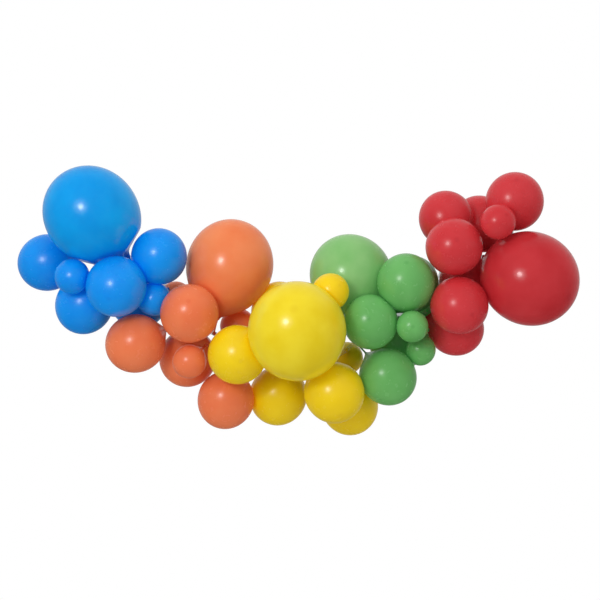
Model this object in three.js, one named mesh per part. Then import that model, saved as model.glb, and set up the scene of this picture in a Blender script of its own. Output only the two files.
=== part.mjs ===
// Balloon garland: latex balloons knotted through a clear plastic strip that hangs in a low bow
// on a wall. Millimetres. X runs right along the wall, Z up, and Y into the wall, whose face is y = 0.
// The origin is on the back of the left end tab, where it lies against the wall.

import * as THREE from "three";

// Balloon sizes, blown up
const LARGE_DIAMETER = 333;
const MEDIUM_DIAMETER = 205;
const SMALL_DIAMETER = 121;

// Balloon forms, as shares of the radius: how far the crown, the shoulder and the base reach from the
// widest ring. Four large balloons are blown pear-shaped, and all the others are nearly round.
const PEAR = { crown: 1.07, shoulder: 1.13, base: 1.27 };
const ROUND = { crown: 1.05, shoulder: 1.02, base: 1.17 };
const SHOULDER_ANGLE = 150;

// Neck and knot
const NECK_RADIUS = 3;
const NECK_FLARE_RADIUS = 4.8;
const NECK_BEND = 16;
const LEAST_STRAIGHT = 1;
const NO_TURN = 1e-4;
const KNOT_RADIUS = 7;
const KNOT_LENGTH = 13;
const TUCKED_NECK = 10;
const TUCK_OUTWARD = 0.25;
const HOLE_MARGIN = 1.5;

// Contacts
const CONTACT_GAP = 0.4;
const GLUE_PRESS = 3;
const CONTACT_REACH = 1.15;
const WALL_CLEARANCE = 1;
const PRESS_PASSES = 6;
const BASE_TOLERANCE = 0.01;

// Garland strip
const STRIP_WIDTH = 16;
const STRIP_THICKNESS = 1;
const HOLE_PITCH = 42;
const HOLE_DIAMETER = 11;
const STANDOFF = 160;
const END_RUN = 150;
const HOLE_CORNERS = 6;
const STRIP_COLOUR = 0xe8edf0;
const JOINT_TOLERANCE = 1e-3;
const ROUTE_DIVISIONS = 2000;

// End tabs
const TAB_WIDTH = 24;
const TAB_LENGTH = 60;
const TAB_HOLE_DIAMETER = 8;
const TAB_HOLE_FROM_END = 15;
const TAB_HOLE_CORNERS = 8;
const TAB_TIP_STEPS = 4;
const TAB_ORIGIN_FROM_END = 35;

const SIZES = {
  large: { radius: LARGE_DIAMETER / 2, form: PEAR, sides: 14, rings: 8 },
  largeRound: { radius: LARGE_DIAMETER / 2, form: ROUND, sides: 14, rings: 8 },
  medium: { radius: MEDIUM_DIAMETER / 2, form: ROUND, sides: 10, rings: 6 },
  small: { radius: SMALL_DIAMETER / 2, form: ROUND, sides: 8, rings: 5 },
};

const COLOURS = {
  blue: 0x0a8ce0,
  orange: 0xe6763c,
  yellow: 0xecca1e,
  green: 0x5cac58,
  red: 0xcc333a,
};

const FRONT = new THREE.Vector3(0, -1, 0);
const BACK = new THREE.Vector3(0, 1, 0);
const ASLANT = new THREE.Vector3(0.3, 0.2, 1);

// A balloon whose crown leans further back than this is knotted from behind the strip.
const LEAN_OF_BACK_BALLOONS = -8;

// The way the strip takes across the wall, from tab to tab, as [right, up]
const ROUTE = [
  [-5, -100], [50, -140], [130, -145], [210, -160], [275, -205], [310, -265],
  [330, -325], [375, -365], [440, -375], [505, -415], [565, -455], [635, -475],
  [720, -480], [810, -475], [895, -460], [950, -420], [1000, -375], [1055, -330],
  [1120, -315], [1180, -320], [1230, -285], [1255, -225], [1265, -165], [1295, -115],
  [1350, -95], [1415, -110], [1480, -80], [1520, -20], [1525, 45],
];
const RIGHT_TAB = [1525, 105];

const garland = new THREE.Group();
const balloons = new Map();

// Strip

function smooth(share) {
  const s = Math.min(Math.max(share, 0), 1);
  return s * s * (3 - 2 * s);
}

// Both tabs stand upright: the left one above the strip's start, the right one above its end.
function stripCurve() {
  const mid = -STRIP_THICKNESS / 2;
  const tabRoot = TAB_LENGTH - TAB_ORIGIN_FROM_END;
  const flat = [[0, TAB_ORIGIN_FROM_END], [0, 0], [0, -tabRoot], ...ROUTE];
  const [endX, endZ] = RIGHT_TAB;
  flat.push([endX, endZ - tabRoot], [endX, endZ], [endX, endZ + TAB_ORIGIN_FROM_END]);
  const points = flat.map(([x, z]) => new THREE.Vector3(x, mid, z));
  return new THREE.CatmullRomCurve3(points, false, "centripetal");
}

const planRoute = stripCurve();
planRoute.arcLengthDivisions = ROUTE_DIVISIONS;
const stripLength = planRoute.getLength();

// The strip leaves the wall after each tab and reaches its stand-off over END_RUN.
function stripPoint(s) {
  const point = planRoute.getPointAt(Math.min(Math.max(s / stripLength, 0), 1));
  const fromEnd = Math.min(s, stripLength - s) - TAB_LENGTH;
  point.y -= (STANDOFF - STRIP_THICKNESS / 2) * smooth(fromEnd / END_RUN);
  return point;
}

function stripFrame(s) {
  const step = 2;
  const along = stripPoint(s + step).sub(stripPoint(s - step)).normalize();
  const across = new THREE.Vector3().crossVectors(along, BACK).normalize();
  const normal = new THREE.Vector3().crossVectors(across, along);
  return { point: stripPoint(s), along, across, normal };
}

const holeCount = Math.floor((stripLength - 2 * TAB_LENGTH) / HOLE_PITCH);
const firstHole = (stripLength - (holeCount - 1) * HOLE_PITCH) / 2;

function holeFrame(hole) {
  return stripFrame(firstHole + hole * HOLE_PITCH);
}

function regularPath(station, radius, corners) {
  const path = new THREE.Path();
  const ring = [];
  for (let corner = 0; corner < corners; corner += 1) {
    const angle = (corner + 0.5) * 2 * Math.PI / corners;
    ring.push(new THREE.Vector2(station + radius * Math.cos(angle), radius * Math.sin(angle)));
  }
  path.setFromPoints(ring);
  return path;
}

function tabHole(station) {
  return regularPath(station, TAB_HOLE_DIAMETER / 2, TAB_HOLE_CORNERS);
}

// The strip is cut flat as a row of short plates: a tab, a plain link, a cell for each hole, and so
// back to a tab. Each plate is a list of edge points [station, half width] and may have a hole.
function stripPlates() {
  const half = STRIP_WIDTH / 2;
  const tabHalf = TAB_WIDTH / 2;
  const tip = [];
  for (let step = 0; step <= TAB_TIP_STEPS; step += 1) {
    const angle = step * Math.PI / 2 / TAB_TIP_STEPS;
    tip.push([tabHalf * (1 - Math.cos(angle)), tabHalf * Math.sin(angle)]);
  }
  const leftTab = [...tip, [TAB_LENGTH - tabHalf, tabHalf], [TAB_LENGTH, half]];
  const rightTab = leftTab.map(([station, width]) => [stripLength - station, width]).reverse();
  const rowStart = firstHole - HOLE_PITCH / 2;
  const plates = [
    { edge: leftTab, hole: tabHole(TAB_HOLE_FROM_END) },
    { edge: [[TAB_LENGTH, half], [rowStart, half]] },
  ];
  for (let hole = 0; hole < holeCount; hole += 1) {
    const from = rowStart + hole * HOLE_PITCH;
    plates.push({
      edge: [[from, half], [from + HOLE_PITCH, half]],
      hole: regularPath(from + HOLE_PITCH / 2, HOLE_DIAMETER / 2, HOLE_CORNERS),
    });
  }
  const rowEnd = rowStart + holeCount * HOLE_PITCH;
  plates.push(
    { edge: [[rowEnd, half], [stripLength - TAB_LENGTH, half]] },
    { edge: rightTab, hole: tabHole(stripLength - TAB_HOLE_FROM_END) },
  );
  return plates;
}

// Corners of one plate's triangles, without the walls where it runs on into its neighbours
function plateCorners({ edge, hole }) {
  const lower = edge
    .filter(([, width]) => width > 0)
    .reverse()
    .map(([station, width]) => [station, -width]);
  const outline = [...edge, ...lower].map(([station, width]) => new THREE.Vector2(station, width));
  const shape = new THREE.Shape(outline);
  if (hole) {
    shape.holes.push(hole);
  }
  const plate = new THREE.ExtrudeGeometry(shape, { depth: STRIP_THICKNESS, bevelEnabled: false });
  const spot = plate.attributes.position;
  const ends = [edge[0][0], edge[edge.length - 1][0]];
  const corners = [];
  for (let i = 0; i < spot.count; i += 3) {
    const triangle = [0, 1, 2].map((k) => new THREE.Vector3().fromBufferAttribute(spot, i + k));
    const isOn = (end) => (corner) => Math.abs(corner.x - end) < JOINT_TOLERANCE;
    const isJoint = ends.some((end) => triangle.every(isOn(end)));
    if (!isJoint) {
      corners.push(...triangle);
    }
  }
  return corners;
}

// The flat plates are laid along the strip's way.
function makeStrip() {
  const corners = stripPlates().flatMap(plateCorners);
  for (const corner of corners) {
    const frame = stripFrame(corner.x);
    const place = frame.point
      .addScaledVector(frame.across, corner.y)
      .addScaledVector(frame.normal, STRIP_THICKNESS / 2 - corner.z);
    corner.copy(place);
  }
  const geometry = new THREE.BufferGeometry().setFromPoints(corners);
  const material = new THREE.MeshStandardMaterial({ color: STRIP_COLOUR, roughness: 0.25, metalness: 0 });
  const mesh = new THREE.Mesh(geometry, material);
  mesh.name = "garland_strip";
  garland.add(mesh);
}

// Balloons

// Clock is the angle in the plane of the wall, from the right towards up; lean is towards the viewer.
function direction(clock, lean) {
  const c = THREE.MathUtils.degToRad(clock);
  const l = THREE.MathUtils.degToRad(lean);
  return new THREE.Vector3(Math.cos(c) * Math.cos(l), -Math.sin(l), Math.sin(c) * Math.cos(l));
}

// The part of a neck that leaves its balloon straight, before it bends towards its hole
function straightNeck(neck) {
  return Math.max(neck - NECK_BEND, LEAST_STRAIGHT);
}

// Lathe profile from the crown, at the top of the local Y axis, down to the tip of the knot
function balloonProfile(size, radius, neck, inHole) {
  const swell = Math.sqrt(1 / Math.cos(Math.PI / size.sides));
  const points = [new THREE.Vector2(0, size.form.crown * radius)];
  for (let ring = 1; ring <= size.rings; ring += 1) {
    const angle = THREE.MathUtils.degToRad(ring * SHOULDER_ANGLE / size.rings);
    const length = angle < Math.PI / 2 ? size.form.crown : size.form.shoulder;
    points.push(new THREE.Vector2(
      radius * swell * Math.sin(angle),
      radius * length * Math.cos(angle),
    ));
  }
  const base = -size.form.base * radius;
  points.push(new THREE.Vector2(NECK_FLARE_RADIUS, base));
  if (inHole) {
    points.push(new THREE.Vector2(NECK_RADIUS, base - straightNeck(neck)));
  }
  points.push(new THREE.Vector2(NECK_RADIUS, base - neck));
  const knot = inHole ? base - neck - HOLE_MARGIN - STRIP_THICKNESS : base - neck;
  points.push(new THREE.Vector2(KNOT_RADIUS, knot - KNOT_LENGTH / 2));
  points.push(new THREE.Vector2(0, knot - KNOT_LENGTH));
  return points.reverse();
}

// A neck leaves the balloon straight, then turns through one arc to stand square in its hole.
function neckTurn(base, neck, turn) {
  const straight = straightNeck(neck);
  const bend = neck - straight;
  return (distance) => {
    const bent = Math.min(Math.max(distance - straight, 0), bend);
    const rest = Math.max(distance - neck, 0);
    const angle = turn * bent / bend;
    const bow = turn > NO_TURN ? bend / turn : 0;
    const alongArc = turn > NO_TURN ? bow * Math.sin(angle) : bent;
    const x = -bow * (1 - Math.cos(angle)) - rest * Math.sin(turn);
    const y = -base - Math.min(distance, straight) - alongArc - rest * Math.cos(turn);
    return { x, y, angle };
  };
}

function bendNeck(geometry, base, neck, turn) {
  const place = neckTurn(base, neck, turn);
  const spot = geometry.attributes.position;
  for (let i = 0; i < spot.count; i += 1) {
    if (spot.getY(i) < -base) {
      const { x, y, angle } = place(-base - spot.getY(i));
      const side = spot.getX(i);
      spot.setXYZ(i, x + side * Math.cos(angle), y - side * Math.sin(angle), spot.getZ(i));
    }
  }
}

function addBalloon(name, size, radius, neck, centre, crown, leave) {
  const turn = crown.angleTo(leave);
  const profile = balloonProfile(size, radius, neck, leave !== crown);
  const geometry = new THREE.LatheGeometry(profile, size.sides);
  const base = size.form.base * radius;
  bendNeck(geometry, base, neck, turn);
  const aside = leave.clone().addScaledVector(crown, -leave.dot(crown));
  if (aside.length() < NO_TURN) {
    aside.crossVectors(crown, ASLANT);
  }
  aside.normalize();
  const third = new THREE.Vector3().crossVectors(aside, crown);
  const color = COLOURS[name.split("_")[0]];
  const material = new THREE.MeshStandardMaterial({ color, roughness: 0.2, metalness: 0 });
  const mesh = new THREE.Mesh(geometry, material);
  mesh.name = name;
  mesh.quaternion.setFromRotationMatrix(new THREE.Matrix4().makeBasis(aside, crown, third));
  mesh.position.copy(centre(aside));
  mesh.updateMatrixWorld();
  balloons.set(name, { mesh, radius, base, centre: mesh.position });
  garland.add(mesh);
}

// A balloon knotted through a hole of the strip. Its neck is the length from its base to the hole.
function knotted(name, sizeName, hole, clock, lean, neck, fill) {
  const size = SIZES[sizeName];
  const radius = size.radius * fill;
  const crown = direction(clock, lean);
  const frame = holeFrame(hole);
  const leave = frame.normal.clone().multiplyScalar(lean < LEAN_OF_BACK_BALLOONS ? 1 : -1);
  const turn = crown.angleTo(leave);
  const toHole = neckTurn(size.form.base * radius, neck, turn);
  const atHole = toHole(neck + HOLE_MARGIN + STRIP_THICKNESS / 2);
  const centre = (aside) => frame.point.clone()
    .addScaledVector(aside, -atHole.x)
    .addScaledVector(crown, -atHole.y);
  addBalloon(name, size, radius, neck, centre, crown, leave);
}

// A small balloon stuck to a larger one. Its neck is tucked in along its host, towards the wall
// unless the way its crown points is given.
function stuck(name, hostName, clock, lean, fill, crownClock, crownLean) {
  const size = SIZES.small;
  const radius = size.radius * fill;
  const host = balloons.get(hostName);
  const outward = direction(clock, lean);
  const crown = crownClock === undefined
    ? FRONT.clone().addScaledVector(outward, TUCK_OUTWARD - FRONT.dot(outward)).normalize()
    : direction(crownClock, crownLean);
  const centre = () => host.centre.clone()
    .addScaledVector(outward, host.radius + radius - GLUE_PRESS);
  addBalloon(name, size, radius, TUCKED_NECK, centre, crown, crown);
}

// Blue balloons

knotted("blue_large", "large", 6, 129, 25, 65, 0.98);
knotted("blue_medium_1", "medium", 1, -164.5, 17.5, 32, 0.99);
knotted("blue_medium_2", "medium", 3, -116, 6, 39, 0.99);
knotted("blue_medium_3", "medium", 5, -105, 65.5, 58, 1.02);
knotted("blue_medium_4", "medium", 8, 85, 48.5, 15, 0.95);
knotted("blue_medium_5", "medium", 4, -58, -13.5, 28, 1);
stuck("blue_small_1", "blue_medium_2", 103, 51, 1);
knotted("blue_small_2", "small", 9, -139, 55, 29, 0.98);

// Orange balloons

knotted("orange_large", "large", 15, 77, -4, 58, 0.93);
knotted("orange_medium_1", "medium", 13, 85, 66, 24, 0.99);
knotted("orange_medium_2", "medium", 12, -154, 21, 71, 1);
knotted("orange_medium_3", "medium", 14, -120, -25, 14, 1);
knotted("orange_medium_4", "medium", 18, -110.5, -2.5, 64, 0.98);
stuck("orange_small_1", "orange_medium_3", -16, 83, 0.97, -135, 25);
knotted("orange_small_2", "small", 11, 101, -59.5, 34, 0.98);
knotted("orange_small_3", "small", 16, 47, -50, 36, 1.05);

// Yellow balloons

knotted("yellow_large", "large", 23, 97.5, 64.5, 56, 1);
knotted("yellow_medium_1", "medium", 17, -48.5, 77, 21, 1);
knotted("yellow_medium_2", "medium", 22, -108, -17, 25, 1.01);
knotted("yellow_medium_3", "medium", 25, -75, 47, 55, 1.02);
knotted("yellow_medium_4", "medium", 26, -75, -10, 76, 1);
knotted("yellow_medium_5", "medium", 21, 88, -13, 67, 1);
knotted("yellow_small_2", "small", 27, -80.5, -69, 36, 0.97);

// Green balloons

knotted("green_large", "largeRound", 31, 126, -1, 24, 0.87);
knotted("green_medium_1", "medium", 33, 94, 49.5, 62, 0.98);
knotted("green_medium_2", "medium", 30, 132.5, 80, 30, 0.93);
knotted("green_medium_3", "medium", 28, -47, 24.5, 67, 0.97);
knotted("green_medium_4", "medium", 32, 59.5, -18, 20, 1);
knotted("green_medium_5", "medium", 29, -15.5, -21, 27, 0.97);
stuck("yellow_small_1", "green_large", -144, 62, 1.05);
stuck("green_small_1", "green_medium_2", -6, 16, 0.91);
stuck("green_small_2", "green_medium_3", 38, -6, 0.87, -110, 15);
stuck("green_small_3", "green_medium_4", -57, -19, 0.91, 85, 10);

// Red balloons

knotted("red_large", "large", 43, -30, 42, 16, 0.97);
knotted("red_medium_1", "medium", 46, 95, 49.5, 58, 0.98);
knotted("red_medium_2", "medium", 41, 115, 10.5, 28, 0.94);
knotted("red_medium_3", "medium", 40, 100, 78.5, 59, 0.96);
knotted("red_medium_4", "medium", 37, -43.5, 64, 64, 0.97);
knotted("red_medium_5", "medium", 34, -17.5, 0, 34, 0.95);
knotted("red_medium_6", "medium", 44, 114, -22, 12, 0.98);
knotted("red_medium_7", "medium", 36, 28.5, -16.5, 34, 0.99);
stuck("red_small_1", "red_medium_1", -134, 47, 0.98);

// Where balloons press on each other, both go flat against the plane between them.
function flatten() {
  const all = [...balloons.values()];
  for (const balloon of all) {
    const faces = [{ normal: BACK, limit: -WALL_CLEARANCE }];
    for (const other of all) {
      const normal = other.centre.clone().sub(balloon.centre);
      const distance = normal.length();
      if (other !== balloon && distance < CONTACT_REACH * (balloon.radius + other.radius)) {
        normal.divideScalar(distance);
        const share = (distance ** 2 + balloon.radius ** 2 - other.radius ** 2) / (2 * distance);
        faces.push({ normal, limit: normal.dot(balloon.centre) + share - CONTACT_GAP / 2 });
      }
    }
    pressFlat(balloon, faces);
  }
}

function pressFlat(balloon, faces) {
  const spot = balloon.mesh.geometry.attributes.position;
  const inverse = balloon.mesh.matrixWorld.clone().invert();
  const corner = new THREE.Vector3();
  for (let i = 0; i < spot.count; i += 1) {
    if (spot.getY(i) > -balloon.base + BASE_TOLERANCE) {
      corner.fromBufferAttribute(spot, i).applyMatrix4(balloon.mesh.matrixWorld);
      for (let pass = 0; pass < PRESS_PASSES; pass += 1) {
        for (const face of faces) {
          const over = face.normal.dot(corner) - face.limit;
          corner.addScaledVector(face.normal, -Math.max(over, 0));
        }
      }
      corner.applyMatrix4(inverse);
      spot.setXYZ(i, corner.x, corner.y, corner.z);
    }
  }
}

makeStrip();
flatten();

export default garland;
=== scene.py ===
# Balloon garland: latex balloons knotted through a clear plastic strip that hangs in a low bow on a
# wall. Metres. X runs right along the wall, Y into it, Z up, from the back of the left end tab.

import math

import bmesh
import bpy
import numpy as np
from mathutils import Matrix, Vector


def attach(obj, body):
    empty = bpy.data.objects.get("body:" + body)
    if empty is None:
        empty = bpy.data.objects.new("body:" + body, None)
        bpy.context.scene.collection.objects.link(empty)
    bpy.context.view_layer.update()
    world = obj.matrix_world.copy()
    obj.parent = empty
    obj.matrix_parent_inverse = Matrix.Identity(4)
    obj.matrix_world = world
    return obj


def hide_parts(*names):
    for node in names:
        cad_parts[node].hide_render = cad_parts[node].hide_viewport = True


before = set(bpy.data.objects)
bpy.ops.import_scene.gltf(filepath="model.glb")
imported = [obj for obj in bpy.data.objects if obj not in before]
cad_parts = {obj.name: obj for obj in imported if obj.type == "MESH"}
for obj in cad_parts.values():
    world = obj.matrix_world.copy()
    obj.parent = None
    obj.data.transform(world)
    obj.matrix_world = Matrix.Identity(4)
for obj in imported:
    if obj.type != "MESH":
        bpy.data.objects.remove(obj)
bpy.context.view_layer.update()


# Garland strip
# A band of clear PVC, stamped from sheet with a row of round holes and sold on a roll. Its ends are
# wider tabs that hang on the wall, and each balloon's knot is pushed through one of the holes.

STRIP_WIDTH = 0.016
STRIP_THICKNESS = 0.001
HOLE_PITCH = 0.042
HOLE_RADIUS = 0.0055
STANDOFF = 0.160
END_RUN = 0.150
TAB_WIDTH = 0.024
TAB_LENGTH = 0.060
TAB_HOLE_RADIUS = 0.004
TAB_HOLE_FROM_END = 0.015
TAB_ORIGIN_FROM_END = 0.035
RIM_CORNERS = 24
ROW_STEP = 0.0065
TANGENT_STEP = 0.002
WELD = 1e-5

# Waves in the clear PVC are 6 mm across and 0.4 mm high, and its scuffs are 1.5 mm across
PVC_WAVES = 0.006
PVC_WAVE_HEIGHT = 0.0004
PVC_SCUFFS = 0.0015

# The way the strip takes across the wall between its tabs, as [right, up]
ROUTE = [
    [-0.005, -0.100], [0.050, -0.140], [0.130, -0.145], [0.210, -0.160], [0.275, -0.205],
    [0.310, -0.265], [0.330, -0.325], [0.375, -0.365], [0.440, -0.375], [0.505, -0.415],
    [0.565, -0.455], [0.635, -0.475], [0.720, -0.480], [0.810, -0.475], [0.895, -0.460],
    [0.950, -0.420], [1.000, -0.375], [1.055, -0.330], [1.120, -0.315], [1.180, -0.320],
    [1.230, -0.285], [1.255, -0.225], [1.265, -0.165], [1.295, -0.115], [1.350, -0.095],
    [1.415, -0.110], [1.480, -0.080], [1.520, -0.020], [1.525, 0.045],
]
RIGHT_TAB = [1.525, 0.105]


def srgb(colour):
    """A hex colour as the linear values that a shader takes."""
    parts = [int(colour[k:k + 2], 16) / 255 for k in (1, 3, 5)]
    return [p / 12.92 if p <= 0.04045 else ((p + 0.055) / 1.055) ** 2.4 for p in parts] + [1]


def add_node(tree, kind, values=(), links=(), **settings):
    """A node with its settings, the values of its sockets, and what its sockets are linked to."""
    node = tree.nodes.new(kind)
    for key, value in settings.items():
        setattr(node, key, value)
    for socket, value in dict(values).items():
        node.inputs[socket].default_value = value
    for socket, source in dict(links).items():
        tree.links.new(source, node.inputs[socket])
    return node


def mesh_object(name, mesh):
    """An object at the origin that shows a mesh with smooth shading."""
    piece = bpy.data.objects.new(name, mesh)
    bpy.context.collection.objects.link(piece)
    mesh.shade_smooth()
    return piece


def spline_way(points, steps_per_span):
    """A centripetal Catmull-Rom curve through points, as many small steps."""
    points = np.array(points)
    ends = [2 * points[0] - points[1], 2 * points[-1] - points[-2]]
    knots = np.vstack([ends[0], points, ends[1]])
    share = np.linspace(0, 1, steps_per_span, endpoint=False)[:, None]
    way = []
    for before, start, end, after in zip(knots, knots[1:], knots[2:], knots[3:]):
        gaps = [math.sqrt(np.linalg.norm(b - a)) for a, b in
                ((before, start), (start, end), (end, after))]
        leave = (start - before) / gaps[0] - (end - before) / (gaps[0] + gaps[1])
        leave = (leave + (end - start) / gaps[1]) * gaps[1]
        arrive = (end - start) / gaps[1] - (after - start) / (gaps[1] + gaps[2])
        arrive = (arrive + (after - end) / gaps[2]) * gaps[1]
        square = 3 * (end - start) - 2 * leave - arrive
        cube = 2 * (start - end) + leave + arrive
        way.append(start + leave * share + square * share ** 2 + cube * share ** 3)
    return np.vstack(way + [points[-1]])


def strip_centreline():
    """Stations along the strip and its plan [right, up] at each."""
    root = TAB_LENGTH - TAB_ORIGIN_FROM_END
    x, z = RIGHT_TAB
    points = [[0, TAB_ORIGIN_FROM_END], [0, 0], [0, -root], *ROUTE]
    points += [[x, z - root], [x, z], [x, z + TAB_ORIGIN_FROM_END]]
    plan = spline_way(points, steps_per_span=60)
    station = np.concatenate([[0], np.cumsum(np.linalg.norm(np.diff(plan, axis=0), axis=1))])
    return station, plan


way_station, way_plan = strip_centreline()
strip_length = way_station[-1]
hole_count = math.floor((strip_length - 2 * TAB_LENGTH) / HOLE_PITCH)
first_hole = (strip_length - (hole_count - 1) * HOLE_PITCH) / 2


def strip_point(station):
    """Middle of the strip at a station: it leaves the wall after each tab."""
    right, up = (np.interp(station, way_station, way_plan[:, k]) for k in (0, 1))
    share = np.clip((np.minimum(station, strip_length - station) - TAB_LENGTH) / END_RUN, 0, 1)
    off_wall = (STANDOFF - STRIP_THICKNESS / 2) * share ** 2 * (3 - 2 * share)
    return np.stack([right, -STRIP_THICKNESS / 2 - off_wall, up], axis=-1)


def plate_mesh(name, rows, hole_at, hole_radius, rim_reach):
    """A flat plate: rows of corners across it, and a round hole with a rim that meets the rows."""
    shape = bmesh.new()
    angles = np.arange(RIM_CORNERS) * 2 * math.pi / RIM_CORNERS
    inner = [shape.verts.new((hole_at + hole_radius * math.cos(a), hole_radius * math.sin(a), 0))
             for a in angles]
    outer = [shape.verts.new((hole_at + rim_reach(a) * math.cos(a), rim_reach(a) * math.sin(a), 0))
             for a in angles]
    for k in range(RIM_CORNERS):
        after = (k + 1) % RIM_CORNERS
        shape.faces.new((inner[k], outer[k], outer[after], inner[after]))
    side_to_corner = RIM_CORNERS // 8
    shares = [math.tan(a) for a in angles[:side_to_corner + 1]]
    shares = [-s for s in reversed(shares[1:])] + shares
    for run in rows:
        grid = [[shape.verts.new((x, half * s, 0)) for s in shares] for x, half in run]
        for left, right in zip(grid, grid[1:]):
            for k in range(len(shares) - 1):
                shape.faces.new((left[k], right[k], right[k + 1], left[k + 1]))
    bmesh.ops.remove_doubles(shape, verts=shape.verts, dist=WELD)
    mesh = bpy.data.meshes.new(name)
    shape.to_mesh(mesh)
    shape.free()
    return mesh


def even_rows(start, end, half_start, half_end):
    """Rows from one station to another, about ROW_STEP apart."""
    steps = max(round((end - start) / ROW_STEP), 1)
    return [(start + (end - start) * k / steps, half_start + (half_end - half_start) * k / steps)
            for k in range(steps + 1)]


def square_reach(half):
    """Distance to the edge of a square around a hole."""
    return lambda angle: half / max(abs(math.cos(angle)), abs(math.sin(angle)))


def tab_reach(angle):
    """Distance from a tab's hole to the tab's round tip, its sides or the first row past the hole."""
    half = TAB_WIDTH / 2
    side = square_reach(half)(angle)
    set_in = TAB_HOLE_FROM_END - half
    if TAB_HOLE_FROM_END + side * math.cos(angle) >= half:
        return side
    toward_tip = set_in * math.cos(angle)
    return -toward_tip + math.sqrt(toward_tip ** 2 + half ** 2 - set_in ** 2)


def row_tree():
    """Node tree that sets one cell of the strip at every hole of the row."""
    tree = bpy.data.node_groups.new("row_of_holes", "GeometryNodeTree")
    for name, kind in (("Cell", "Object"), ("Holes", "Int"), ("Pitch", "Float"),
                       ("First hole", "Float"), ("Plastic", "Material")):
        tree.interface.new_socket(name, in_out="INPUT", socket_type="NodeSocket" + kind)
    tree.interface.new_socket("Strip", in_out="OUTPUT", socket_type="NodeSocketGeometry")
    given = add_node(tree, "NodeGroupInput").outputs
    cell = add_node(tree, "GeometryNodeObjectInfo", links={"Object": given["Cell"]})
    start = add_node(tree, "ShaderNodeCombineXYZ", links={"X": given["First hole"]})
    step = add_node(tree, "ShaderNodeCombineXYZ", links={"X": given["Pitch"]})
    line = add_node(tree, "GeometryNodeMeshLine", mode="OFFSET", links={
        "Count": given["Holes"], "Start Location": start.outputs[0], "Offset": step.outputs[0]})
    cells = add_node(tree, "GeometryNodeInstanceOnPoints", links={
        "Points": line.outputs[0], "Instance": cell.outputs["Geometry"]})
    solid = add_node(tree, "GeometryNodeRealizeInstances", links={"Geometry": cells.outputs[0]})
    dressed = add_node(tree, "GeometryNodeSetMaterial", links={
        "Geometry": solid.outputs[0], "Material": given["Plastic"]})
    add_node(tree, "NodeGroupOutput", links={"Strip": dressed.outputs[0]})
    return tree


def evaluated_mesh(piece):
    """A plain mesh of a piece with its modifiers worked in."""
    return bpy.data.meshes.new_from_object(
        piece.evaluated_get(bpy.context.evaluated_depsgraph_get()))


def clear_pvc():
    """Clear PVC sheet, calendered: see-through and smooth, with faint rolling waves and scuffs."""
    material = bpy.data.materials.new("clear_pvc_sheet")
    material.use_nodes = True
    tree = material.node_tree
    tree.nodes.clear()
    place = add_node(tree, "ShaderNodeTexCoord").outputs["Object"]
    waves = add_node(tree, "ShaderNodeTexNoise", {"Scale": 1 / PVC_WAVES, "Detail": 2},
                     {"Vector": place})
    scuffs = add_node(tree, "ShaderNodeTexNoise", {"Scale": 1 / PVC_SCUFFS, "Detail": 4},
                      {"Vector": place})
    rough = add_node(tree, "ShaderNodeMapRange", {"To Min": 0.03, "To Max": 0.12},
                     {"Value": scuffs.outputs["Fac"]})
    bump = add_node(tree, "ShaderNodeBump", {"Strength": 0.25, "Distance": PVC_WAVE_HEIGHT},
                    {"Height": waves.outputs["Fac"]})
    shader = add_node(tree, "ShaderNodeBsdfPrincipled", {
        "Base Color": srgb("#f2f7f8"), "IOR": 1.53, "Transmission Weight": 0.92}, {
        "Roughness": rough.outputs[0], "Normal": bump.outputs[0]})
    add_node(tree, "ShaderNodeOutputMaterial", links={"Surface": shader.outputs[0]})
    return material


def lay_on_way(flat):
    """The flat strip's corners [station, side] laid along its way on the wall."""
    point = strip_point(flat[:, 0])
    along = strip_point(flat[:, 0] + TANGENT_STEP) - strip_point(flat[:, 0] - TANGENT_STEP)
    across = np.cross(along, [0, 1, 0])
    across /= np.linalg.norm(across, axis=1)[:, None]
    return point + across * flat[:, 1:2]


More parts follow.
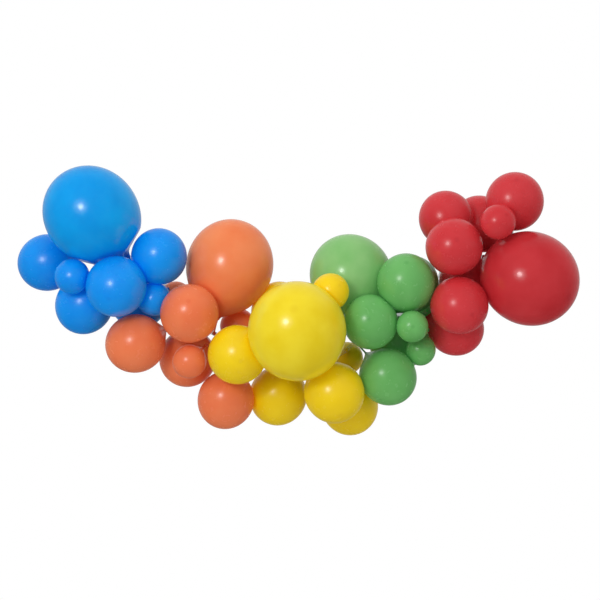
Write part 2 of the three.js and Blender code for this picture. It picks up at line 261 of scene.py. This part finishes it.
def make_strip():
    """The strip: a cell for each hole and a tab at each end, laid along its way and made thick."""
    half, tab_half = STRIP_WIDTH / 2, TAB_WIDTH / 2
    plastic = clear_pvc()
    cell_rows = [even_rows(-HOLE_PITCH / 2, -half, half, half),
                 even_rows(half, HOLE_PITCH / 2, half, half)]
    cell = mesh_object("strip_cell", plate_mesh("cell", cell_rows, 0, HOLE_RADIUS, square_reach(half)))
    row = mesh_object("strip_row", bpy.data.meshes.new("row"))
    tree = row_tree()
    sizes = {"Cell": cell, "Holes": hole_count, "Pitch": HOLE_PITCH, "First hole": first_hole,
             "Plastic": plastic}
    modifier = row.modifiers.new("row", "NODES")
    modifier.node_group = tree
    for socket in tree.interface.items_tree:
        if socket.in_out == "INPUT":
            modifier[socket.identifier] = sizes[socket.name]
    row_mesh = evaluated_mesh(row)
    taper = TAB_LENGTH - tab_half
    tab_rows = [even_rows(TAB_HOLE_FROM_END + tab_half, taper, tab_half, tab_half),
                even_rows(taper, TAB_LENGTH, tab_half, half),
                even_rows(TAB_LENGTH, first_hole - HOLE_PITCH / 2, half, half)]
    tab = plate_mesh("tab", tab_rows, TAB_HOLE_FROM_END, TAB_HOLE_RADIUS, tab_reach)
    shape = bmesh.new()
    shape.from_mesh(row_mesh)
    shape.from_mesh(tab)
    right_tab = len(shape.verts)
    shape.from_mesh(tab)
    shape.verts.ensure_lookup_table()
    for corner in shape.verts[right_tab:]:
        corner.co.x = strip_length - corner.co.x
    bmesh.ops.remove_doubles(shape, verts=shape.verts, dist=10 * WELD)
    bmesh.ops.recalc_face_normals(shape, faces=shape.faces)
    mesh = bpy.data.meshes.new("garland_strip_clear")
    shape.to_mesh(mesh)
    shape.free()
    flat = np.array([corner.co for corner in mesh.vertices])
    mesh.vertices.foreach_set("co", lay_on_way(flat).ravel())
    sheet = mesh_object("strip_sheet", mesh)
    solidify = sheet.modifiers.new("thickness", "SOLIDIFY")
    solidify.thickness = STRIP_THICKNESS
    solidify.offset = 0
    strip = mesh_object("garland_strip_clear", evaluated_mesh(sheet))
    strip.data.materials.clear()
    strip.data.materials.append(plastic)
    strip.data.shade_flat()
    for spare in (cell, row, sheet):
        bpy.data.objects.remove(spare)
    return strip


strip = make_strip()
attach(strip, "root")
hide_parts("garland_strip")


# Blue balloons
# Latex balloons dipped on formers, blown up and tied off: one large, five medium and two small.
# The skin is thin and glossy where it is stretched, and deeper in colour at the crown and the neck.

# Forms as shares of the radius: how far crown, shoulder and base reach from the widest ring.
# The shoulder ends 150 degrees from the crown, and from there the skin runs in to the neck.
PEAR = {"crown": 1.07, "shoulder": 1.13, "base": 1.27}
ROUND = {"crown": 1.05, "shoulder": 1.02, "base": 1.17}
SHOULDER_ANGLE = 150
NECK_RADIUS = 0.003
NECK_FLARE = 0.008
FLARE_FULLNESS = 0.8
TUBE_STEP = 0.003
KNOT_LENGTH = 0.013

# A direction that no balloon points in, to find the side of a balloon whose neck is straight
ASLANT = (0.3, 0.2, 1.0)

# Where balloons press on each other: the first press rounds the edge of the flat place, and three
# sharp ones clear what is left. The press fades out over a fifth of the radius above the neck.
CONTACT_GAP = 0.0004
CONTACT_REACH = 1.15
CONTACT_ROUNDING = 0.003
PRESS_ROUNDINGS = (CONTACT_ROUNDING, 0, 0, 0)
PRESS_FADE = 0.2
WALL_CLEARANCE = 0.001

# Slack latex at the neck with its pleats, and the deeper spot at the crown
SLACK_FROM = 0.78
SLACK_FADE = 1.5
PLEATS = 14
PLEAT_DEPTH = 0.05
CROWN_SPOT = 0.25
CROWN_SPOT_DEPTH = 0.004

# Painted glow where two balloons touch, an emission in the slack colour that stands in for light coming
# through the skins: how far it reaches and how strong it is
PAINTED_GLOW_REACH = 0.022
PAINTED_GLOW_STRENGTH = 0.22

# Sizes in the latex: cloudy tone 110 mm, powdery bloom 20 mm, ripples 45 mm across and 1 mm high.
# The real bloom is finer, and is drawn this coarse so that it shows. It takes a little from the
# roughness in some places and adds a little in others.
CLOUDS = 0.11
BLOOM = 0.02
BLOOM_ROUGHNESS = (-0.04, 0.06)
RIPPLES = 0.045
RIPPLE_HEIGHT = 0.001

# Rings of the solid's body, by the number of its sides
SOLID_RINGS = {14: 8, 10: 6, 8: 5}
# Sides and body rings of the fine skin, by the same number
SKIN_FINENESS = {14: (112, 72), 10: (80, 52), 8: (56, 36)}

# A tied knot and the rolled lip behind it, as [distance, radius] from where it starts
KNOT_FORM = [
    [0, 0.0030], [0.0008, 0.0055], [0.0024, 0.0068], [0.0044, 0.0070], [0.0062, 0.0058],
    [0.0074, 0.0036], [0.0085, 0.0034], [0.0093, 0.0048], [0.0106, 0.0054], [0.0118, 0.0048],
    [0.0126, 0.0030], [0.0130, 0.0010],
]


def unit(vector):
    """A vector of the same direction and of length one."""
    return vector / np.linalg.norm(vector)


def body_length(angle, form):
    """How long the body is, as a share of its radius, at an angle from its crown."""
    return np.where(angle < math.pi / 2, form["crown"], form["shoulder"])


def slackness(heights, balloon):
    """How little the latex is stretched at a height, from 0 on the body to 1 at the neck."""
    share = -heights / balloon["base"]
    return np.clip((share - SLACK_FROM) / (1 - SLACK_FROM), 0, 1) ** SLACK_FADE


def solid_rings(node):
    """Corners of a balloon's solid, ring by ring from the tip of its knot to its crown."""
    shape = bmesh.new()
    shape.from_mesh(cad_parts[node].data)
    bmesh.ops.remove_doubles(shape, verts=shape.verts, dist=WELD)
    shape.verts.index_update()
    poles = [corner for corner in shape.verts if len(corner.link_edges) >= min(SOLID_RINGS)]
    tip = min(poles, key=lambda corner: corner.link_edges[0].calc_length())
    rings = [[tip]]
    seen = {tip}
    while rings[-1]:
        ring = {edge.other_vert(corner) for corner in rings[-1] for edge in corner.link_edges} - seen
        seen |= ring
        rings.append(sorted(ring, key=lambda corner: corner.index))
    corners = [np.array([corner.co for corner in ring]) for ring in rings[:-1]]
    shape.free()
    return corners


def measure_balloon(node):
    """Where a balloon's solid has its centre, its crown and its neck, and how large it is."""
    rings = solid_rings(node)
    sides = len(rings[1])
    count = SOLID_RINGS[sides]
    # The neck is straight from the base to the ring below it, and may bend from there
    base, below = (rings[k - count].mean(axis=0) for k in (-2, -3))
    crown = unit(base - below)
    swell = math.sqrt(1 / math.cos(math.pi / sides))
    guesses = []
    for ring in range(1, count + 1):
        angle = math.radians(ring * SHOULDER_ANGLE / count)
        height = (rings[-1 - ring] - base) @ crown
        aside = rings[-1 - ring] - base - height[:, None] * crown
        by_width = np.linalg.norm(aside, axis=1) / (swell * math.sin(angle))
        for form in (PEAR, ROUND):
            by_height = height / (form["base"] + body_length(angle, form) * math.cos(angle))
            best = np.argmin(abs(by_width - by_height))
            guesses.append((abs(by_width - by_height)[best], by_width[best], form))
    radius, form = min(guesses, key=lambda guess: guess[0])[1:]
    tip, entry = rings[0][0], rings[2].mean(axis=0)
    leave = unit(tip - entry)
    turn = math.acos(np.clip(-crown @ leave, -1, 1))
    straight = np.linalg.norm(base - below)
    bend = 0.0
    side = np.cross(crown, ASLANT)
    if np.linalg.norm(entry - below) > WELD:
        bend = np.linalg.norm(entry - below) * (turn / 2) / math.sin(turn / 2)
        side = leave - (leave @ crown) * crown
    return {
        "sides": sides, "form": form, "radius": radius, "base": form["base"] * radius,
        "centre": base + form["base"] * radius * crown,
        "crown": crown, "side": unit(side), "straight": straight, "bend": bend, "turn": turn,
        "knot_from": straight + bend + np.linalg.norm(tip - entry) - KNOT_LENGTH,
    }


BALLOONS = {node: measure_balloon(node) for node in sorted(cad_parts) if node != "garland_strip"}


def curve_between(points, handles, steps):
    """A cubic curve between two points with its two handles."""
    share = np.linspace(0, 1, steps + 1)[1:, None]
    rest = 1 - share
    return (points[0] * rest ** 3 + 3 * handles[0] * rest ** 2 * share
            + 3 * handles[1] * rest * share ** 2 + points[1] * share ** 3)


def skin_profile(balloon, rings):
    """Rings [radius, height] from the crown down to the knot's lip."""
    size = balloon["radius"]
    angle = np.radians(np.linspace(0, SHOULDER_ANGLE, rings + 1)[1:])
    length = body_length(angle, balloon["form"])
    body = np.stack([size * np.sin(angle), size * length * np.cos(angle)], axis=1)
    corner = np.array([NECK_RADIUS, -balloon["base"]])
    neck = corner - [0, NECK_FLARE]
    handle = body[-1] + FLARE_FULLNESS * (corner - body[-1])
    flare = curve_between([body[-1], neck], [handle, corner], rings // 3)
    start = balloon["knot_from"]
    tube_steps = max(round((start - NECK_FLARE) / TUBE_STEP), 2)
    tube = np.linspace(NECK_FLARE, start, tube_steps + 1)[1:-1]
    knot = np.array(KNOT_FORM) + [start, 0]
    distance = np.concatenate([tube, knot[:, 0]])
    radius = np.concatenate([np.full(len(tube), NECK_RADIUS), knot[:, 1]])
    tied = np.stack([radius, -balloon["base"] - distance], axis=1)
    return np.vstack([body, flare, tied])


def skin_rings(balloon, profile, sides):
    """The profile turned about the balloon's axis, and bent below its base towards the hole."""
    crown, side = balloon["crown"], balloon["side"]
    base = -balloon["base"]
    around = np.arange(sides) * 2 * math.pi / sides
    third = np.cross(-crown, side)
    rings = []
    for radius, height in profile:
        below = max(base - height, 0)
        bent = min(max(below - balloon["straight"], 0), balloon["bend"])
        rest = max(below - balloon["straight"] - balloon["bend"], 0)
        angle = balloon["turn"] * bent / balloon["bend"] if balloon["bend"] else 0
        bow = balloon["bend"] / balloon["turn"] if balloon["bend"] else 0
        ahead = -crown * math.cos(angle) + side * math.sin(angle)
        point = (balloon["centre"] + crown * (max(height, base) - min(below, balloon["straight"]))
                 - crown * bow * math.sin(angle) + side * bow * (1 - math.cos(angle)) + ahead * rest)
        pleat = 1 + PLEAT_DEPTH * slackness(height, balloon) * np.cos(PLEATS * around)
        first = side * math.cos(angle) + crown * math.sin(angle)
        spread = radius * pleat[:, None]
        rings.append(point + spread * (first * np.cos(around)[:, None] + third * np.sin(around)[:, None]))
    return np.array(rings)


def press_on_neighbours(name, points, heights):
    """Points of a skin pushed back where it rests on other balloons or on the wall."""
    balloon = BALLOONS[name]
    hold = np.clip((heights + balloon["base"]) / (PRESS_FADE * balloon["radius"]), 0, 1)[:, None]
    planes = [(np.array([0, 1, 0]), -WALL_CLEARANCE)]
    for other in BALLOONS.values():
        normal = other["centre"] - balloon["centre"]
        distance = np.linalg.norm(normal)
        if 0 < distance < CONTACT_REACH * (balloon["radius"] + other["radius"]):
            normal = normal / distance
            share = (distance ** 2 + balloon["radius"] ** 2 - other["radius"] ** 2) / (2 * distance)
            planes.append((normal, normal @ balloon["centre"] + share - CONTACT_GAP / 2))
    for rounding in PRESS_ROUNDINGS:
        for normal, limit in planes:
            over = points @ normal - limit
            push = (over + np.sqrt(over ** 2 + rounding ** 2)) / 2
            points = points - hold * push[:, None] * normal
    return points


def nearness(balloon, points):
    """How close each point is to another balloon, from 0 in the open to 1 where they touch."""
    near = np.zeros(len(points))
    for other in BALLOONS.values():
        apart = np.linalg.norm(other["centre"] - balloon["centre"])
        if 0 < apart < CONTACT_REACH * (balloon["radius"] + other["radius"]):
            gap = np.linalg.norm(points - other["centre"], axis=1) - other["radius"]
            near = np.maximum(near, np.exp(-np.maximum(gap, 0) / PAINTED_GLOW_REACH))
    return near


def skin_mesh(name):
    """The whole skin of one balloon, closed at the crown and at the knot's lip."""
    balloon = BALLOONS[name]
    sides, ring_count = SKIN_FINENESS[balloon["sides"]]
    profile = skin_profile(balloon, ring_count)
    rings = skin_rings(balloon, profile, sides)
    crown_height = balloon["form"]["crown"] * balloon["radius"]
    crown_tip = balloon["centre"] + crown_height * balloon["crown"]
    points = np.vstack([[crown_tip], rings.reshape(-1, 3), [rings[-1].mean(axis=0)]])
    heights = np.concatenate([[crown_height], np.repeat(profile[:, 1], sides), [profile[-1, 1]]])
    points = press_on_neighbours(name, points, heights)
    last = len(points) - 1
    faces = []
    for k in range(sides):
        after = (k + 1) % sides
        faces.append((0, 1 + after, 1 + k))
        for ring in range(len(profile) - 1):
            here, below = 1 + ring * sides, 1 + (ring + 1) * sides
            faces.append((here + k, here + after, below + after, below + k))
        end = 1 + (len(profile) - 1) * sides
        faces.append((end + k, end + after, last))
    mesh = bpy.data.meshes.new(name + "_skin")
    mesh.from_pydata(points.tolist(), [], faces)
    slack = slackness(heights, balloon)
    crown_spot = CROWN_SPOT * np.exp(-((1 - heights / crown_height) / CROWN_SPOT_DEPTH) ** 2)
    mesh.attributes.new("slack", "FLOAT", "POINT").data.foreach_set("value", slack)
    mesh.attributes.new("crown_spot", "FLOAT", "POINT").data.foreach_set("value", crown_spot)
    # Painted glow: emission strength that grows near other balloons
    between = PAINTED_GLOW_STRENGTH * nearness(balloon, points)
    mesh.attributes.new("between", "FLOAT", "POINT").data.foreach_set("value", between)
    return mesh


def latex(name, stretched, shaded, slack, roughness, glow):
    """Natural rubber latex, dipped and blown up: glossy under a faint powdery bloom, a little
    cloudy where it is thin, and lit from within, because light passes through it. Near other
    balloons it carries a painted glow, an emission in its slack colour."""
    material = bpy.data.materials.new(name)
    material.use_nodes = True
    tree = material.node_tree
    tree.nodes.clear()
    place = add_node(tree, "ShaderNodeTexCoord").outputs["Object"]
    slack_share = add_node(tree, "ShaderNodeAttribute", attribute_name="slack").outputs["Fac"]
    spot_share = add_node(tree, "ShaderNodeAttribute", attribute_name="crown_spot").outputs["Fac"]
    painted_glow_share = add_node(tree, "ShaderNodeAttribute", attribute_name="between").outputs["Fac"]
    clouds = add_node(tree, "ShaderNodeTexNoise", {"Scale": 1 / CLOUDS, "Detail": 3}, {"Vector": place})
    tone = add_node(tree, "ShaderNodeMapRange", {"From Min": 0.35, "From Max": 0.65},
                    {"Value": clouds.outputs["Fac"]})
    body = add_node(tree, "ShaderNodeMix", {6: srgb(stretched), 7: srgb(shaded)},
                    {0: tone.outputs[0]}, data_type="RGBA")
    crown = add_node(tree, "ShaderNodeMix", {7: srgb(slack)},
                     {0: spot_share, 6: body.outputs[2]}, data_type="RGBA")
    skin = add_node(tree, "ShaderNodeMix", {7: srgb(slack)},
                    {0: slack_share, 6: crown.outputs[2]}, data_type="RGBA")
    bloom = add_node(tree, "ShaderNodeTexNoise", {"Scale": 1 / BLOOM, "Detail": 4}, {"Vector": place})
    least, most = (roughness + change for change in BLOOM_ROUGHNESS)
    rough = add_node(tree, "ShaderNodeMapRange", {"To Min": least, "To Max": most},
                     {"Value": bloom.outputs["Fac"]})
    ripple = add_node(tree, "ShaderNodeTexNoise", {"Scale": 1 / RIPPLES, "Detail": 1}, {"Vector": place})
    bump = add_node(tree, "ShaderNodeBump", {"Strength": 0.35, "Distance": RIPPLE_HEIGHT},
                    {"Height": ripple.outputs["Fac"]})
    # The emission in the slack colour, strong near other balloons, is a painted glow where they touch
    shader = add_node(tree, "ShaderNodeBsdfPrincipled", {
        "IOR": 1.52, "Specular IOR Level": 0.4, "Subsurface Weight": glow,
        "Subsurface Radius": (0.04, 0.04, 0.04), "Subsurface Scale": 1.0,
        "Emission Color": srgb(slack)}, {
        "Base Color": skin.outputs[2], "Roughness": rough.outputs[0], "Normal": bump.outputs[0],
        "Emission Strength": painted_glow_share})
    add_node(tree, "ShaderNodeOutputMaterial", links={"Surface": shader.outputs[0]})
    return material


def dress_balloons(colour, large_latex, small_latex):
    """Skins for all balloons of one colour. The large ones are stretched thinner and look paler."""
    for name in BALLOONS:
        if name.startswith(colour + "_"):
            piece = mesh_object(name + "_skin", skin_mesh(name))
            piece.data.materials.append(large_latex if name.endswith("_large") else small_latex)
            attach(piece, "root")
            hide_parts(name)


dress_balloons(
    "blue",
    latex("latex_blue_large", "#0898de", "#068ed6", "#0672c6", roughness=0.18, glow=0.35),
    latex("latex_blue", "#048ee6", "#0484dd", "#0468c8", roughness=0.25, glow=0.25),
)


# Orange balloons
# Latex balloons as above in a soft brick orange: one large, four medium and three small.

dress_balloons(
    "orange",
    latex("latex_orange_large", "#e68656", "#e27a4a", "#d0562c", roughness=0.18, glow=0.35),
    latex("latex_orange", "#e47c50", "#df7146", "#c84a26", roughness=0.25, glow=0.25),
)


# Yellow balloons
# Latex balloons in a strong lemon yellow: one large, five medium and two small.

dress_balloons(
    "yellow",
    latex("latex_yellow_large", "#e6d02c", "#dfc51a", "#cca806", roughness=0.18, glow=0.35),
    latex("latex_yellow", "#eaca10", "#e4c20a", "#cca204", roughness=0.25, glow=0.25),
)


# Green balloons
# Latex balloons in a leaf green: one large, five medium and three small.

dress_balloons(
    "green",
    latex("latex_green_large", "#8abd78", "#7cb56c", "#4c9852", roughness=0.18, glow=0.35),
    latex("latex_green", "#6bb063", "#60a659", "#3a8440", roughness=0.25, glow=0.25),
)


# Red balloons
# Latex balloons in a clear red: one large, seven medium and one small.

dress_balloons(
    "red",
    latex("latex_red_large", "#c2343a", "#ba2b31", "#a01824", roughness=0.18, glow=0.35),
    latex("latex_red", "#cc3a40", "#c63036", "#a01420", roughness=0.25, glow=0.25),
)


# Floor, light and camera
# A pale floor well below the garland, and white air all round. Two round lamps stand one behind the
# other, above and to the left of the camera: a small bright one, and a wide one that softens its edge.

# The camera looks straight at the wall
VIEW_CENTRE = (0.7616, -0.160, -0.2633)
VIEW_DISTANCE = 4.8
VIEW_WIDTH = 2.1352

FLOOR_HEIGHT = -2.6
FLOOR_REACH = 1.9
FLOOR_PLACE = (VIEW_CENTRE[0], -0.5)

LAMPS_TOWARDS = (-0.407, -0.883, 0.233)
SOFTBOX_AWAY = 3.2
SOFTBOX_SIZE = 0.6
SOFTBOX_POWER = 20
RIM_BEHIND = 0.1
RIM_SIZE = 1.8
RIM_POWER = 12

# Strength of the air: as light from below and above, and as gloss reflects it, where it is dim on
# the room's side, bright on the wall's side and weaker low down. The ranges are parts of a direction.
AIR_BELOW = 0.4
AIR_ABOVE = 1.2
MIRRORED_ROOM = 0.03
MIRRORED_WALL = 0.7
MIRRORED_WALL_RANGE = (-0.2, 1)
MIRRORED_LOW = 0.15
MIRRORED_LOW_RANGE = (-0.7, 0.3)


def plain_floor():
    """A square of pale matt floor, which gloss doesn't reflect."""
    mesh = bpy.data.meshes.new("floor")
    x, y = FLOOR_PLACE
    corners = [(x + u * FLOOR_REACH, y + v * FLOOR_REACH, FLOOR_HEIGHT)
               for u, v in ((-1, -1), (1, -1), (1, 1), (-1, 1))]
    mesh.from_pydata(corners, [], [(0, 1, 2, 3)])
    material = bpy.data.materials.new("pale_floor")
    material.use_nodes = True
    shader = material.node_tree.nodes["Principled BSDF"]
    shader.inputs["Base Color"].default_value = srgb("#ecebe8")
    shader.inputs["Roughness"].default_value = 0.6
    mesh.materials.append(material)
    floor = mesh_object("floor", mesh)
    floor.visible_glossy = False


def round_lamp(name, away, size, power):
    """A round lamp at a distance from the middle of the garland, facing it."""
    data = bpy.data.lights.new(name, "AREA")
    data.shape = "DISK"
    data.size = size
    data.energy = power
    lamp = bpy.data.objects.new(name, data)
    bpy.context.collection.objects.link(lamp)
    way = unit(np.array(LAMPS_TOWARDS))
    lamp.location = np.array(VIEW_CENTRE) + way * away
    lamp.rotation_euler = Vector(way).to_track_quat("Z", "Y").to_euler()


def white_air():
    """White all round. The camera sees full white, light falls mostly from above, and gloss shows
    the wall's side as the bright one."""
    world = bpy.data.worlds.new("white_air")
    world.use_nodes = True
    tree = world.node_tree
    tree.nodes.clear()
    ray = add_node(tree, "ShaderNodeLightPath").outputs
    way = add_node(tree, "ShaderNodeTexCoord").outputs["Generated"]
    axes = add_node(tree, "ShaderNodeSeparateXYZ", links={0: way}).outputs
    fill = add_node(tree, "ShaderNodeMapRange", {
        "From Min": -1, "From Max": 1, "To Min": AIR_BELOW, "To Max": AIR_ABOVE}, {"Value": axes["Z"]})
    room_side, wall_side = MIRRORED_WALL_RANGE
    wall = add_node(tree, "ShaderNodeMapRange", {
        "From Min": room_side, "From Max": wall_side, "To Min": MIRRORED_ROOM,
        "To Max": MIRRORED_WALL}, {"Value": axes["Y"]})
    low, high = MIRRORED_LOW_RANGE
    height = add_node(tree, "ShaderNodeMapRange", {
        "From Min": low, "From Max": high, "To Min": MIRRORED_LOW}, {"Value": axes["Z"]})
    sheen = add_node(tree, "ShaderNodeMath", links={0: wall.outputs[0], 1: height.outputs[0]},
                     operation="MULTIPLY")
    strength = add_node(tree, "ShaderNodeMix", links={
        0: ray["Is Glossy Ray"], 2: fill.outputs[0], 3: sheen.outputs[0]})
    strength = add_node(tree, "ShaderNodeMix", {3: 1.0}, {
        0: ray["Is Camera Ray"], 2: strength.outputs[0]})
    air = add_node(tree, "ShaderNodeBackground", {"Color": srgb("#ffffff")},
                   {"Strength": strength.outputs[0]})
    add_node(tree, "ShaderNodeOutputWorld", links={"Surface": air.outputs[0]})
    bpy.context.scene.world = world


plain_floor()
white_air()
round_lamp("softbox", SOFTBOX_AWAY, SOFTBOX_SIZE, SOFTBOX_POWER)
round_lamp("softbox_rim", SOFTBOX_AWAY + RIM_BEHIND, RIM_SIZE, RIM_POWER)
bpy.context.scene.view_settings.view_transform = "Standard"

camera_data = bpy.data.cameras.new("camera")
camera_data.sensor_width = 36
camera_data.lens = camera_data.sensor_width * VIEW_DISTANCE / VIEW_WIDTH
camera = bpy.data.objects.new("camera", camera_data)
bpy.context.collection.objects.link(camera)
camera.location = (VIEW_CENTRE[0], VIEW_CENTRE[1] - VIEW_DISTANCE, VIEW_CENTRE[2])
camera.rotation_euler = (math.radians(90), 0, 0)
bpy.context.scene.camera = camera
